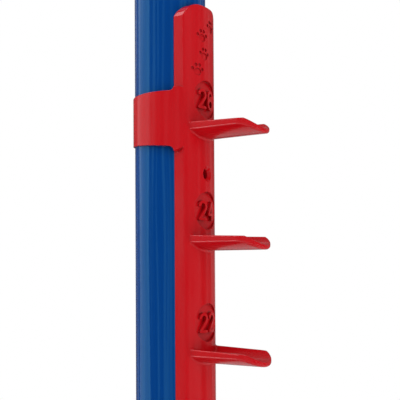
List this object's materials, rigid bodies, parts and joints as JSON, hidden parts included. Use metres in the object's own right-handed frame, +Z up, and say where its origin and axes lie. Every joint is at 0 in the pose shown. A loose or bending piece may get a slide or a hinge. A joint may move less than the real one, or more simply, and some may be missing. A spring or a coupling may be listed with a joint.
{
  "type": "agility jump upright with clip-on cup strips",
  "caption": "Upright pole for a dog agility jump, with moulded strips of bar cups clipped on at marked heights.",
  "frame": {"origin": "centre of the pole's foot, on the ground", "axes": "+Z up along the pole, +X the way the cups point"},
  "size_m": [0.0676, 0.038, 0.7644],
  "materials": {
    "blue_plastic": "gloss",
    "red_plastic": "gloss"
  },
  "bodies": {
    "pole": {"pole": "blue_plastic"},
    "plug": {"pole_plug": "blue_plastic"},
    "strip_upper": {"strip_upper": "red_plastic"},
    "strip_lower": {"strip_lower": "red_plastic"}
  },
  "joints": [
    {"name": "plug_pull", "type": "slide", "parent": "pole", "child": "plug", "axis": [0, 0, 1], "range_m": [0, 0.014]},
    {"name": "strip_upper_turn", "type": "hinge", "parent": "pole", "child": "strip_upper", "pos_m": [0, 0, 0.55], "axis": [0, 0, 1], "continuous": true},
    {"name": "strip_lower_turn", "type": "hinge", "parent": "pole", "child": "strip_lower", "pos_m": [0, 0, 0.23], "axis": [0, 0, 1], "continuous": true}
  ]
}
